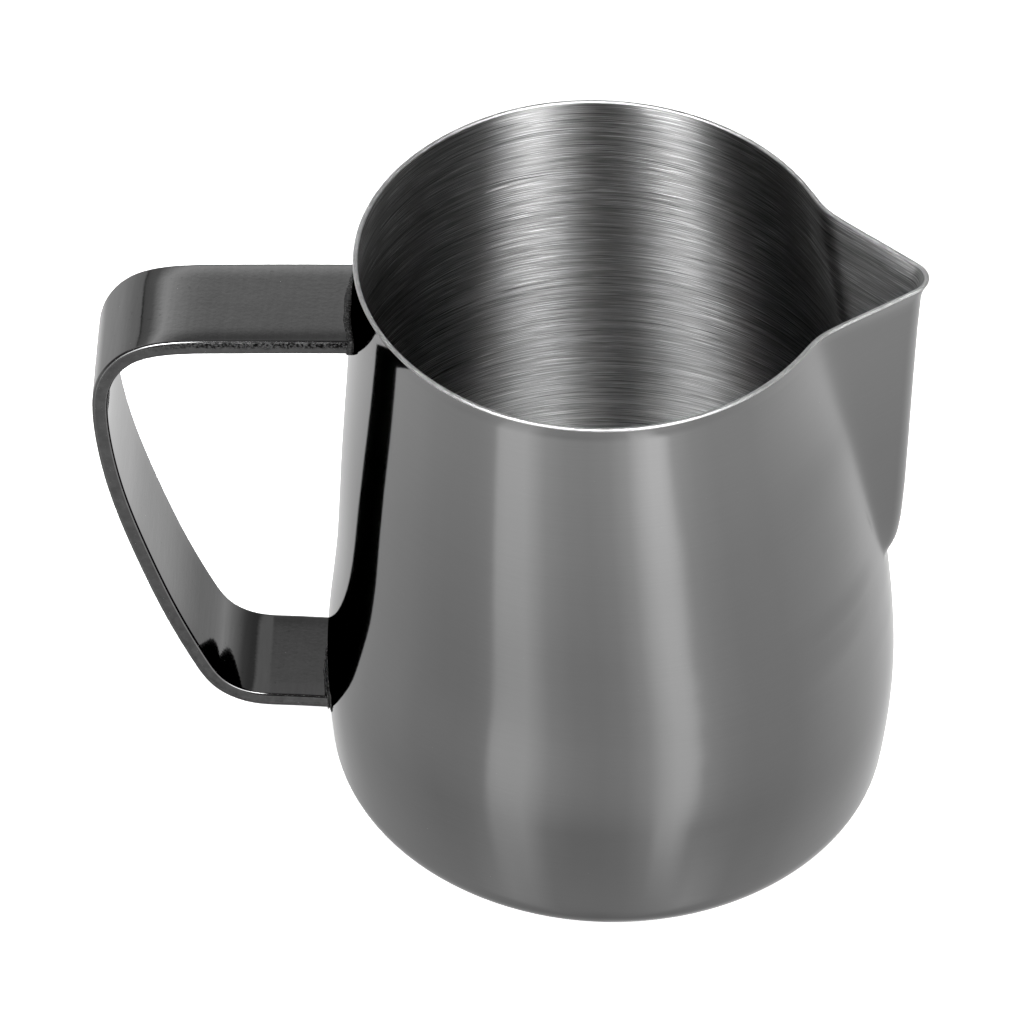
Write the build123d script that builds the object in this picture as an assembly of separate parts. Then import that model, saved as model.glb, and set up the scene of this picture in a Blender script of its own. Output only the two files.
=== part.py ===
from build123d import *
import math
import os

# ---------------------------------------------------------------------------------------------------------------
# Milk frothing pitcher: a drawn steel cup with a pressed pouring spout, a bent strap handle and its two weld beads.
# Millimetres. Origin at the centre of the resting face, +Z up, +X along the pouring spout, -X along the handle.
# ---------------------------------------------------------------------------------------------------------------

# cup
HEIGHT = 105.0             # resting face to rim
WALL = 0.8                 # sheet thickness of wall and base
CORNER_IN = 13.71          # how far the base corner comes in from the wall line at the resting face
CORNER_UP = 9.54           # height over which the base corner turns into the wall
WALL_Z = [0.0, 15.75, 29.4, 44.1, 63.0, 84.0, 105.0]        # wall line, heights
WALL_R = [43.10, 44.84, 45.11, 43.93, 43.14, 42.15, 41.25]  # wall line, radii
BELLY = 0.35               # how much fuller the belly is under the spout
BELLY_HALF_ANGLE = 55.0
FOOT_RECESS_R = 24.6       # radius of the stamped recess in the foot
FOOT_RECESS_H = 0.8        # depth of that recess
FLARE = 0.25               # how far the rim turns outward all round
FLARE_FROM = 102.4         # height at which the rim starts to turn outward

# spout
PINCH = 8.6                # how far the wall draws in at the rim beside the spout
PINCH_HALF_ANGLE = 126.0   # angle from the spout axis where the draw-in ends
PINCH_Z = [40.0, 46.0, 52.5, 58.0, 68.0, 78.0, 87.0, 96.0, 105.0]
PINCH_Q = [0.0, 0.035, 0.13, 0.24, 0.425, 0.595, 0.755, 0.89, 1.0]
BEAK_HALF_ANGLE = 40.75    # half angle between the two flat sides of the spout in plan
BEAK_TIP_R = 4.3           # radius that rounds the spout's front edge
LIP = 0.95                 # extra outward turn of the rim at the spout's tip
LIP_FROM = 100.6           # height at which that extra turn starts
LIP_HALF_ANGLE = 16.0      # how far round from the spout axis that extra turn reaches
# front edge of the spout, height and distance from the axis, without the lip's turn
NOSE_Z = [38.0, 42.0, 44.0, 46.0, 47.6, 48.8, 49.8, 50.7, 51.6, 52.4, 53.3, 54.15, 55.0, 56.7, 58.4, 60.0, 65.0, 80.0, 95.0, 100.7, 105.0]
NOSE_X = [12.0, 26.0, 32.2, 37.0, 40.2, 41.8, 42.92, 43.48, 43.87, 44.23, 44.50, 44.67, 44.79, 44.97, 45.07, 45.13, 45.25, 45.33, 45.46, 45.62, 45.68]

# handle
STRAP_W = 19.3             # width of the strap
STRAP_T = 2.5              # thickness of the strap
STRAP_EDGE_R = 0.5         # rounding of the strap's long edges
STRAP_YAW = 2.5            # degrees that the strap leans round the cup from the plane opposite the spout
STRAP_ROOT_X = -43.0       # the upright line at the wall about which it leans
# middle line of the strap in its own upright plane, from inside the wall at the top to inside the wall at the bottom
STRAP_LINE = [(-36.0, 92.95), (-41.0, 92.81), (-46.5, 92.66), (-52.0, 92.5), (-62.06, 92.13), (-69.45, 91.6), (-75.9, 89.4), (-79.45, 84.6),
              (-80.24, 78.55), (-79.71, 71.98), (-77.69, 61.36), (-74.06, 49.27), (-69.87, 37.65), (-65.29, 27.28), (-61.97, 22.1),
              (-57.4, 19.55), (-51.0, 19.05), (-44.5, 18.8), (-38.0, 18.6)]
BEAD = 0.9                 # width and height of the weld beads


def natural_spline(xs, ys):
    """Natural cubic spline through (xs, ys), as a function; straight beyond its ends."""
    n = len(xs)
    h = [xs[i + 1] - xs[i] for i in range(n - 1)]
    a = [0.0] * n
    b = [1.0] * n
    c = [0.0] * n
    d = [0.0] * n
    for i in range(1, n - 1):
        a[i] = h[i - 1]
        b[i] = 2.0 * (h[i - 1] + h[i])
        c[i] = h[i]
        d[i] = 6.0 * ((ys[i + 1] - ys[i]) / h[i] - (ys[i] - ys[i - 1]) / h[i - 1])
    for i in range(1, n):
        w = a[i] / b[i - 1]
        b[i] -= w * c[i - 1]
        d[i] -= w * d[i - 1]
    m = [0.0] * n
    m[-1] = d[-1] / b[-1]
    for i in range(n - 2, -1, -1):
        m[i] = (d[i] - c[i] * m[i + 1]) / b[i]

    def f(x):
        i = 0
        while i < n - 2 and x > xs[i + 1]:
            i += 1
        t = x - xs[i]
        s1 = (ys[i + 1] - ys[i]) / h[i] - h[i] * (2.0 * m[i] + m[i + 1]) / 6.0
        if x > xs[-1]:
            e = h[-1]
            slope = s1 + m[i] * e + (m[i + 1] - m[i]) * e / 2.0
            return ys[-1] + slope * (x - xs[-1])
        if x < xs[0]:
            return ys[0] + s1 * t
        return ys[i] + s1 * t + m[i] * t * t / 2.0 + (m[i + 1] - m[i]) / (6.0 * h[i]) * t ** 3

    return f


def monotone_spline(xs, ys):
    """Monotone cubic through (xs, ys), as a function; constant beyond its ends."""
    n = len(xs)
    h = [xs[i + 1] - xs[i] for i in range(n - 1)]
    s = [(ys[i + 1] - ys[i]) / h[i] for i in range(n - 1)]
    m = [s[0]] + [0.0] * (n - 2) + [s[-1]]
    for i in range(1, n - 1):
        if s[i - 1] * s[i] > 0.0:
            w1, w2 = 2.0 * h[i] + h[i - 1], h[i] + 2.0 * h[i - 1]
            m[i] = (w1 + w2) / (w1 / s[i - 1] + w2 / s[i])

    def f(x):
        if x <= xs[0]:
            return ys[0]
        if x >= xs[-1]:
            return ys[-1]
        i = 0
        while x > xs[i + 1]:
            i += 1
        t = (x - xs[i]) / h[i]
        return (ys[i] * (1 + 2 * t) * (1 - t) ** 2 + h[i] * m[i] * t * (1 - t) ** 2
                + ys[i + 1] * t * t * (3 - 2 * t) + h[i] * m[i + 1] * t * t * (t - 1))

    return f


wall_line = natural_spline(WALL_Z, WALL_R)
pinch_q = monotone_spline(PINCH_Z, PINCH_Q)
nose_line = monotone_spline(NOSE_Z, NOSE_X)


def step(x, a, b):
    t = min(1.0, max(0.0, (x - a) / (b - a)))
    return t * t * (3.0 - 2.0 * t)


def round_wall(z):
    """Radius of the round cup at height z, base corner included."""
    r = wall_line(z)
    if z < CORNER_UP:
        k = 1.0 - z / CORNER_UP
        r -= CORNER_IN * (1.0 - math.sqrt(max(0.0, 1.0 - k * k)))
    return r


def outline(phi, z, base, nose):
    """Radius of the cup's outside at angle phi (degrees from the spout axis) and height z."""
    a = abs((phi + 180.0) % 360.0 - 180.0)
    round_r = base + BELLY * math.exp(-(a / BELLY_HALF_ANGLE) ** 2) * step(z, 1.0, 12.0) * (1.0 - step(z, 34.0, 50.0))
    if a < PINCH_HALF_ANGLE:
        round_r -= PINCH * 0.5 * (1.0 + math.cos(math.pi * a / PINCH_HALF_ANGLE)) * pinch_q(z)
    ts = math.radians(BEAK_HALF_ANGLE)
    apex = nose + BEAK_TIP_R * (1.0 / math.sin(ts) - 1.0)
    centre = nose - BEAK_TIP_R
    # the flat side touches the tip's circle at this angle
    touch = math.degrees(math.atan2(BEAK_TIP_R * math.cos(ts), centre + BEAK_TIP_R * math.sin(ts)))
    if a < touch:
        p = math.radians(a)
        beak = centre * math.cos(p) + math.sqrt(max(0.0, BEAK_TIP_R ** 2 - (centre * math.sin(p)) ** 2))
    elif a < 90.0 - BEAK_HALF_ANGLE:
        beak = apex * math.sin(ts) / math.sin(math.radians(a) + ts)
    else:
        beak = apex * math.sin(ts)
    e = 0.12 + 0.40 * step(z, 52.0, 100.0)
    r = 0.5 * (round_r + beak) + math.sqrt(0.25 * (round_r - beak) ** 2 + e * e)
    up = max(0.0, (z - FLARE_FROM) / (HEIGHT - FLARE_FROM)) ** 2
    lip = max(0.0, (z - LIP_FROM) / (HEIGHT - LIP_FROM)) ** 2
    return r + up * FLARE + lip * LIP * math.exp(-(a / LIP_HALF_ANGLE) ** 2)


def inset_profile(f, z0, z1, t, n=400):
    """The curve r = f(z) moved inward by t along its normal, as a function of z."""
    pts = []
    for i in range(n + 1):
        z = z0 + (z1 - z0) * (i / n) ** 2
        e = 1e-3
        lo = max(z0, z - e)
        s = (f(z + e) - f(lo)) / (z + e - lo)
        q = math.hypot(1.0, s)
        pts.append((z + t * s / q, f(z) - t / q))
    keep = [pts[0]]
    for p in pts[1:]:
        if p[0] > keep[-1][0] + 1e-4:
            keep.append(p)

    def g(z):
        if z <= keep[0][0]:
            return keep[0][1]
        lo, hi = 0, len(keep) - 1
        while hi - lo > 1:
            mid = (lo + hi) // 2
            if keep[mid][0] > z:
                hi = mid
            else:
                lo = mid
        (za, ra), (zb, rb) = keep[lo], keep[hi]
        return ra + (rb - ra) * (z - za) / (zb - za)

    return g


inner_wall = inset_profile(round_wall, 0.0, HEIGHT + 4.0, WALL)
inner_nose = inset_profile(nose_line, 38.0, HEIGHT + 4.0, WALL, 2000)

N_AROUND = 144


def angles():
    out = []
    for i in range(N_AROUND):
        s = i / N_AROUND
        out.append(360.0 * (s - 0.72 * math.sin(2.0 * math.pi * s) / (2.0 * math.pi)))
    return out


ANGLES = angles()


def section(z, inset=0.0, z_at=None):
    """Closed smooth curve at height z: the outside, or the outside moved inward by inset."""
    zf = z if z_at is None else z_at
    if inset:
        base, nose = inner_wall(zf) + inset, inner_nose(zf) + inset
    else:
        base, nose = round_wall(zf), nose_line(zf)
    pts = []
    for a in ANGLES:
        r = outline(a, zf, base, nose)
        p = math.radians(a)
        x, y = r * math.cos(p), r * math.sin(p)
        if inset:
            e = 0.05
            ra, rb = outline(a - e, zf, base, nose), outline(a + e, zf, base, nose)
            slope = (rb - ra) / (2.0 * math.radians(e)) / r
            q = math.hypot(1.0, slope)
            nx = (math.cos(p) + slope * math.sin(p)) / q
            ny = (math.sin(p) - slope * math.cos(p)) / q
            x, y = x - inset * nx, y - inset * ny
        pts.append(Vector(x, y, z))
    params = [i / N_AROUND for i in range(N_AROUND + 1)]
    return Wire([Edge.make_spline(pts, periodic=True, parameters=params)])


OUT_Z = [0.0, 0.12, 0.4, 0.9, 1.6, 2.6, 4.0, 5.8, 7.8, 9.8, 13.0, 18.0, 25.0, 33.0, 40.0, 44.5, 47.0, 48.4, 49.3, 50.1, 50.9, 51.8, 52.8,
         54.0, 55.6, 58.0, 62.0, 68.0, 75.0, 82.0, 89.0, 95.0, 98.8, 100.4, 101.2, 102.0, 102.7, 103.4, 104.2, HEIGHT]
IN_Z = [WALL, 1.1, 1.6, 2.4, 3.6, 5.2, 7.2, 9.6, 13.0, 18.0, 25.0, 33.0, 40.0, 44.5, 47.0, 48.4, 49.3, 50.1, 50.9, 51.8,
        52.8, 54.0, 55.6, 58.0, 62.0, 68.0, 75.0, 82.0, 89.0, 95.0, 98.8, 100.5, 101.2, 101.9, 102.6, 103.4, 104.2, HEIGHT + 0.6]


def build_body():
    outer = Solid.make_loft([section(z) for z in OUT_Z])
    # the cavity's blank runs on a little above the rim so that the cut leaves a clean edge
    inner = Solid.make_loft([section(z, WALL) for z in IN_Z])
    # the foot's centre is stamped up: the recess outside, the raised disc inside
    raised = Cylinder(FOOT_RECESS_R + WALL, WALL + FOOT_RECESS_H, align=(Align.CENTER, Align.CENTER, Align.MIN))
    recess = Cylinder(FOOT_RECESS_R, FOOT_RECESS_H, align=(Align.CENTER, Align.CENTER, Align.MIN))
    recess = fillet(recess.faces().sort_by(Axis.Z)[-1].edges(), 0.6)
    raised = fillet(raised.faces().sort_by(Axis.Z)[-1].edges(), 1.2)
    body = outer - (inner - raised) - recess
    return outer, body


def lean(shape):
    """Turn a shape round the upright line at the wall, as the strap leans."""
    return shape.moved(Location((STRAP_ROOT_X, 0, 0)) * Location((0, 0, 0), (0, 0, STRAP_YAW)) * Location((-STRAP_ROOT_X, 0, 0)))


def build_strap(outer):
    line = Spline(*[Vector(x, 0, z) for x, z in STRAP_LINE])
    n = 90
    left, right = [], []
    for i in range(n + 1):
        t = i / n
        p = line @ t
        d = line % t
        nx, nz = -d.Z, d.X
        left.append((p.X + nx * STRAP_T / 2, p.Z + nz * STRAP_T / 2))
        right.append((p.X - nx * STRAP_T / 2, p.Z - nz * STRAP_T / 2))
    a = Edge.make_spline([Vector(x, 0, z) for x, z in left])
    b = Edge.make_spline([Vector(x, 0, z) for x, z in right])
    c = Edge.make_line(a @ 0, b @ 0)
    d = Edge.make_line(a @ 1, b @ 1)
    face = Face(Wire([a, d, b, c]))
    blank = Solid.extrude(face, Vector(0, STRAP_W, 0)).moved(Location((0, -STRAP_W / 2, 0)))
    long_edges = [e for e in blank.edges() if e.length > 60.0]
    blank = fillet(long_edges, STRAP_EDGE_R)
    blank = lean(blank)
    return blank, (blank - outer)


def bead_at(outer, blank, z_mid):
    """A frame of weld metal round the strap where it meets the wall at height z_mid."""
    x_wall = -round_wall(z_mid)
    sheath = Box(6.0, STRAP_W + 2 * BEAD, STRAP_T + 2 * BEAD)
    sheath = fillet(sheath.edges().filter_by(Axis.X), 1.0)
    sheath = lean(sheath.moved(Location((x_wall, 0, z_mid))))
    r = round_wall(z_mid) + BEAD
    drum = Cylinder(r, 14.0).moved(Location((0, 0, z_mid)))
    bead = sheath & drum
    bead = bead - outer
    return bead - blank


def main():
    os.makedirs("parts", exist_ok=True)
    outer, body = build_body()
    blank, strap = build_strap(outer)
    strap = max(strap.solids(), key=lambda s: s.volume)
    upper = bead_at(outer, blank, 92.79)
    lower = bead_at(outer, blank, 18.80)
    for name, shape in (("pitcher_body", body), ("strap_handle", strap), ("upper_weld_bead", upper), ("lower_weld_bead", lower)):
        solids = shape.solids()
        big = max(s.volume for s in solids)
        solids = [s for s in solids if s.volume > 0.02 * big]
        out = solids[0] if len(solids) == 1 else Compound(solids)
        out.label = name
        export_step(out, os.path.join("parts", name + ".step"))
        b = out.bounding_box()
        print(name, "solids", len(solids), "volume %.1f" % sum(s.volume for s in solids),
              "box %.2f %.2f %.2f .. %.2f %.2f %.2f" % (b.min.X, b.min.Y, b.min.Z, b.max.X, b.max.Y, b.max.Z), "valid", out.is_valid)


main()
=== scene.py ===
import math

import bpy
from mathutils import Matrix, Vector


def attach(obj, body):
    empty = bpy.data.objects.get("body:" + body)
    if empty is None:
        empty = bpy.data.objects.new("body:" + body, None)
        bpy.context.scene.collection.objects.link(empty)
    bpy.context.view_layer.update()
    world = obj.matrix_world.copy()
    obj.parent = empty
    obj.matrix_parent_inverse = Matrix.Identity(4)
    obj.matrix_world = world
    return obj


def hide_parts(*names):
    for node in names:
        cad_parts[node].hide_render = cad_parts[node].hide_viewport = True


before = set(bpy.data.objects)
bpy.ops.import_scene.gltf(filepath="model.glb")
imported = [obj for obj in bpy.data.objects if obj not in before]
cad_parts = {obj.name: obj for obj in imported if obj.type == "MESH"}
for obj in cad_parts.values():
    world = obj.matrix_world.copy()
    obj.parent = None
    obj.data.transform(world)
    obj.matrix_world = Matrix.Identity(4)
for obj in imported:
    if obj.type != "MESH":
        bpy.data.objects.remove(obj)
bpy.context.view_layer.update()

MM = 0.001

# ---------------------------------------------------------------------------------------------------------------
# The pitcher's form, in millimetres, in the CAD frame: +Z up, +X along the spout, -X along the handle.
# ---------------------------------------------------------------------------------------------------------------
HEIGHT = 105.0
WALL = 0.8
CORNER_IN = 13.71
CORNER_UP = 9.54
WALL_Z = [0.0, 15.75, 29.4, 44.1, 63.0, 84.0, 105.0]
WALL_R = [43.10, 44.84, 45.11, 43.93, 43.14, 42.15, 41.25]
BELLY = 0.35
BELLY_HALF_ANGLE = 55.0
FOOT_RECESS_R = 24.6
FOOT_RECESS_H = 0.8
FLARE = 0.25
FLARE_FROM = 102.4
PINCH = 8.6
PINCH_HALF_ANGLE = 126.0
PINCH_Z = [40.0, 46.0, 52.5, 58.0, 68.0, 78.0, 87.0, 96.0, 105.0]
PINCH_Q = [0.0, 0.035, 0.13, 0.24, 0.425, 0.595, 0.755, 0.89, 1.0]
BEAK_HALF_ANGLE = 40.75
BEAK_TIP_R = 4.3
LIP = 0.95
LIP_FROM = 100.6
LIP_HALF_ANGLE = 16.0
NOSE_Z = [38.0, 42.0, 44.0, 46.0, 47.6, 48.8, 49.8, 50.7, 51.6, 52.4, 53.3, 54.15, 55.0, 56.7, 58.4, 60.0, 65.0, 80.0, 95.0, 100.7, 105.0]
NOSE_X = [12.0, 26.0, 32.2, 37.0, 40.2, 41.8, 42.92, 43.48, 43.87, 44.23, 44.50, 44.67, 44.79, 44.97, 45.07, 45.13, 45.25, 45.33, 45.46, 45.62, 45.68]

STRAP_W = 19.3
STRAP_T = 2.5
STRAP_YAW = 2.5
STRAP_ROOT_X = -43.0
STRAP_LINE = [(-36.0, 92.95), (-41.0, 92.81), (-46.5, 92.66), (-52.0, 92.5), (-62.06, 92.13), (-69.45, 91.6), (-75.9, 89.4), (-79.45, 84.6),
              (-80.24, 78.55), (-79.71, 71.98), (-77.69, 61.36), (-74.06, 49.27), (-69.87, 37.65), (-65.29, 27.28), (-61.97, 22.1),
              (-57.4, 19.55), (-51.0, 19.05), (-44.5, 18.8), (-38.0, 18.6)]


def natural_spline(xs, ys):
    n = len(xs)
    h = [xs[i + 1] - xs[i] for i in range(n - 1)]
    a = [0.0] * n
    b = [1.0] * n
    c = [0.0] * n
    d = [0.0] * n
    for i in range(1, n - 1):
        a[i] = h[i - 1]
        b[i] = 2.0 * (h[i - 1] + h[i])
        c[i] = h[i]
        d[i] = 6.0 * ((ys[i + 1] - ys[i]) / h[i] - (ys[i] - ys[i - 1]) / h[i - 1])
    for i in range(1, n):
        w = a[i] / b[i - 1]
        b[i] -= w * c[i - 1]
        d[i] -= w * d[i - 1]
    m = [0.0] * n
    m[-1] = d[-1] / b[-1]
    for i in range(n - 2, -1, -1):
        m[i] = (d[i] - c[i] * m[i + 1]) / b[i]

    def f(x):
        i = 0
        while i < n - 2 and x > xs[i + 1]:
            i += 1
        t = x - xs[i]
        s1 = (ys[i + 1] - ys[i]) / h[i] - h[i] * (2.0 * m[i] + m[i + 1]) / 6.0
        if x > xs[-1]:
            e = h[-1]
            slope = s1 + m[i] * e + (m[i + 1] - m[i]) * e / 2.0
            return ys[-1] + slope * (x - xs[-1])
        if x < xs[0]:
            return ys[0] + s1 * t
        return ys[i] + s1 * t + m[i] * t * t / 2.0 + (m[i + 1] - m[i]) / (6.0 * h[i]) * t ** 3

    return f


def monotone_spline(xs, ys):
    n = len(xs)
    h = [xs[i + 1] - xs[i] for i in range(n - 1)]
    s = [(ys[i + 1] - ys[i]) / h[i] for i in range(n - 1)]
    m = [s[0]] + [0.0] * (n - 2) + [s[-1]]
    for i in range(1, n - 1):
        if s[i - 1] * s[i] > 0.0:
            w1, w2 = 2.0 * h[i] + h[i - 1], h[i] + 2.0 * h[i - 1]
            m[i] = (w1 + w2) / (w1 / s[i - 1] + w2 / s[i])

    def f(x):
        if x <= xs[0]:
            return ys[0]
        if x >= xs[-1]:
            return ys[-1]
        i = 0
        while x > xs[i + 1]:
            i += 1
        t = (x - xs[i]) / h[i]
        return (ys[i] * (1 + 2 * t) * (1 - t) ** 2 + h[i] * m[i] * t * (1 - t) ** 2
                + ys[i + 1] * t * t * (3 - 2 * t) + h[i] * m[i + 1] * t * t * (t - 1))

    return f


wall_line = natural_spline(WALL_Z, WALL_R)
pinch_q = monotone_spline(PINCH_Z, PINCH_Q)
nose_line = monotone_spline(NOSE_Z, NOSE_X)


def step(x, a, b):
    t = min(1.0, max(0.0, (x - a) / (b - a)))
    return t * t * (3.0 - 2.0 * t)


def mix(a, b, t):
    return a + (b - a) * t


def round_wall(z):
    r = wall_line(z)
    if z < CORNER_UP:
        k = 1.0 - z / CORNER_UP
        r -= CORNER_IN * (1.0 - math.sqrt(max(0.0, 1.0 - k * k)))
    return r


class Ring:
    """What the outline needs at one height, worked out once."""

    def __init__(self, z):
        self.z = z
        self.base = round_wall(z)
        self.nose = nose_line(z)
        self.belly = BELLY * step(z, 1.0, 12.0) * (1.0 - step(z, 18.0, 58.0))
        self.pinch = PINCH * 0.5 * pinch_q(z)
        ts = math.radians(BEAK_HALF_ANGLE)
        self.ts = ts
        self.apex = self.nose + BEAK_TIP_R * (1.0 / math.sin(ts) - 1.0)
        self.centre = self.nose - BEAK_TIP_R
        self.touch = math.degrees(math.atan2(BEAK_TIP_R * math.cos(ts), self.centre + BEAK_TIP_R * math.sin(ts)))
        self.e = 0.29 * step(z, 44.0, 52.0) + 0.27 * step(z, 50.0, 100.0)
        self.up = max(0.0, (z - FLARE_FROM) / (HEIGHT - FLARE_FROM)) ** 2
        self.lip = max(0.0, (z - LIP_FROM) / (HEIGHT - LIP_FROM)) ** 2

    def r(self, phi):
        a = abs((phi + 180.0) % 360.0 - 180.0)
        round_r = self.base + self.belly * math.exp(-(a / BELLY_HALF_ANGLE) ** 2)
        if a < PINCH_HALF_ANGLE:
            round_r -= self.pinch * (1.0 + math.cos(math.pi * a / PINCH_HALF_ANGLE))
        if a < self.touch:
            p = math.radians(a)
            beak = self.centre * math.cos(p) + math.sqrt(max(0.0, BEAK_TIP_R ** 2 - (self.centre * math.sin(p)) ** 2))
        elif a < 90.0 - BEAK_HALF_ANGLE:
            beak = self.apex * math.sin(self.ts) / math.sin(math.radians(a) + self.ts)
        else:
            beak = self.apex * math.sin(self.ts)
        r = 0.5 * (round_r + beak) + math.sqrt(0.25 * (round_r - beak) ** 2 + self.e * self.e)
        return r + self.up * FLARE + self.lip * LIP * math.exp(-(a / LIP_HALF_ANGLE) ** 2)


    def spout(self, phi):
        """1 on the pressed spout, 0 on the round wall."""
        a = abs((phi + 180.0) % 360.0 - 180.0)
        if a > 60.0:
            return 0.0
        round_r = self.base + self.belly * math.exp(-(a / BELLY_HALF_ANGLE) ** 2) - self.pinch * (1.0 + math.cos(math.pi * a / PINCH_HALF_ANGLE))
        return step(self.r(phi) - round_r, 0.25, 3.0)


def outline(phi, z):
    return Ring(z).r(phi)


# ---------------------------------------------------------------------------------------------------------------
# Mesh helpers
# ---------------------------------------------------------------------------------------------------------------
def build_mesh(name, verts, faces, mats, mat_index, attributes=None):
    """verts in millimetres."""
    me = bpy.data.meshes.new(name)
    me.from_pydata([(x * MM, y * MM, z * MM) for x, y, z in verts], [], faces)
    for m in mats:
        me.materials.append(m)
    if isinstance(mat_index, int):
        mat_index = [mat_index] * len(faces)
    me.polygons.foreach_set("material_index", mat_index)
    me.polygons.foreach_set("use_smooth", [True] * len(faces))
    for key, values in (attributes or {}).items():
        at = me.attributes.new(key, "FLOAT", "POINT")
        at.data.foreach_set("value", values)
    me.validate()
    me.update()
    ob = bpy.data.objects.new(name, me)
    bpy.context.scene.collection.objects.link(ob)
    return ob


# ---------------------------------------------------------------------------------------------------------------
# Material helpers
# ---------------------------------------------------------------------------------------------------------------
class Nodes:
    def __init__(self, name):
        self.mat = bpy.data.materials.new(name)
        self.mat.use_nodes = True
        self.t = self.mat.node_tree
        self.t.nodes.clear()
        self.out = self.t.nodes.new("ShaderNodeOutputMaterial")
        self.bsdf = self.t.nodes.new("ShaderNodeBsdfPrincipled")
        self.t.links.new(self.bsdf.outputs[0], self.out.inputs["Surface"])

    def new(self, kind, **props):
        n = self.t.nodes.new(kind)
        for k, v in props.items():
            setattr(n, k, v)
        return n

    def link(self, a, b):
        self.t.links.new(a, b)

    def value(self, name, v):
        self.bsdf.inputs[name].default_value = v

    def coords(self, scale, attribute=None, along=1.0):
        """Object coordinates scaled per axis; with an attribute, that value stands for the third axis."""
        tc = self.new("ShaderNodeTexCoord")
        if attribute:
            sep = self.new("ShaderNodeSeparateXYZ")
            self.link(tc.outputs["Object"], sep.inputs[0])
            at = self.new("ShaderNodeAttribute", attribute_name=attribute)
            com = self.new("ShaderNodeCombineXYZ")
            self.link(sep.outputs[0], com.inputs[0])
            self.link(sep.outputs[1], com.inputs[1])
            self.link(at.outputs["Fac"], com.inputs[2])
            src = com.outputs[0]
        else:
            src = tc.outputs["Object"]
        mp = self.new("ShaderNodeMapping")
        mp.inputs["Scale"].default_value = scale
        self.link(src, mp.inputs["Vector"])
        return mp.outputs["Vector"]

    def noise(self, vec, detail=2.0, rough=0.5, scale=1.0, distortion=0.0):
        n = self.new("ShaderNodeTexNoise")
        n.inputs["Scale"].default_value = scale
        n.inputs["Detail"].default_value = detail
        n.inputs["Roughness"].default_value = rough
        n.inputs["Distortion"].default_value = distortion
        self.link(vec, n.inputs["Vector"])
        return n.outputs["Fac"]

    def remap(self, src, a, b, c, d, smooth=False):
        n = self.new("ShaderNodeMapRange")
        n.clamp = True
        if smooth:
            n.interpolation_type = "SMOOTHSTEP"
        n.inputs["From Min"].default_value = a
        n.inputs["From Max"].default_value = b
        n.inputs["To Min"].default_value = c
        n.inputs["To Max"].default_value = d
        self.link(src, n.inputs["Value"])
        return n.outputs["Result"]

    def math(self, op, a, b=None, c=None):
        n = self.new("ShaderNodeMath", operation=op)
        for i, v in enumerate((a, b, c)):
            if v is None:
                continue
            if isinstance(v, (int, float)):
                n.inputs[i].default_value = v
            else:
                self.link(v, n.inputs[i])
        return n.outputs[0]

    def grey(self, fac):
        n = self.new("ShaderNodeCombineColor")
        for i in range(3):
            self.link(fac, n.inputs[i])
        return n.outputs[0]

    def ramp(self, fac, stops):
        n = self.new("ShaderNodeValToRGB")
        cr = n.color_ramp
        while len(cr.elements) > 1:
            cr.elements.remove(cr.elements[-1])
        cr.elements[0].position = stops[0][0]
        cr.elements[0].color = stops[0][1]
        for p, c in stops[1:]:
            e = cr.elements.new(p)
            e.color = c
        self.link(fac, n.inputs[0])
        return n.outputs[0]

    def bump(self, height, distance, strength, normal=None):
        n = self.new("ShaderNodeBump")
        n.inputs["Strength"].default_value = strength
        n.inputs["Distance"].default_value = distance
        self.link(height, n.inputs["Height"])
        if normal is not None:
            self.link(normal, n.inputs["Normal"])
        return n.outputs[0]


def g(v, tint=(1.0, 1.0, 1.0)):
    return (v * tint[0], v * tint[1], v * tint[2], 1.0)


# ---------------------------------------------------------------------------------------------------------------
# Materials
# ---------------------------------------------------------------------------------------------------------------
def polished_outer():
    """Gunmetal finish over polished steel: glossy, with fine turning lines and a little haze."""
    m = Nodes("polished_gunmetal")
    fine = m.noise(m.coords((90.0, 90.0, 9000.0)), detail=3.0, rough=0.6)
    broad = m.noise(m.coords((55.0, 55.0, 34.0)), detail=4.0, rough=0.55)
    cloud = m.noise(m.coords((14.0, 14.0, 10.0)), detail=2.0, rough=0.5)
    hair = m.noise(m.coords((260.0, 260.0, 14000.0)), detail=1.0, rough=0.5)
    hair = m.remap(hair, 0.66, 0.78, 0.0, 1.0)
    base = m.math("ADD", m.remap(broad, 0.3, 0.7, -0.006, 0.006), m.remap(fine, 0.3, 0.7, -0.006, 0.006))
    base = m.math("ADD", base, m.math("MULTIPLY", hair, 0.012))
    # the base colour gets lighter towards the rim
    tc = m.new("ShaderNodeTexCoord")
    sep = m.new("ShaderNodeSeparateXYZ")
    m.link(tc.outputs["Object"], sep.inputs[0])
    up = m.remap(sep.outputs[2], 0.0, 0.105, 0.0, 1.0)
    tone = m.ramp(up, [(0.0, g(0.345)), (0.10, g(0.350)), (0.20, g(0.338)), (0.35, g(0.355)), (0.54, g(0.375)), (0.72, g(0.400)), (0.90, g(0.455)), (1.0, g(0.47))])
    sp = m.new("ShaderNodeSeparateColor")
    m.link(tone, sp.inputs[0])
    base = m.math("ADD", base, sp.outputs[0])
    m.link(m.grey(base), m.bsdf.inputs["Base Color"])
    m.value("Metallic", 1.0)
    ro = m.math("ADD", m.remap(cloud, 0.3, 0.7, 0.040, 0.075), m.math("MULTIPLY", fine, 0.02))
    m.link(ro, m.bsdf.inputs["Roughness"])
    n1 = m.bump(fine, 0.000002, 0.35)
    n2 = m.bump(broad, 0.00006, 0.30, n1)
    m.link(n2, m.bsdf.inputs["Normal"])
    return m.mat


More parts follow.
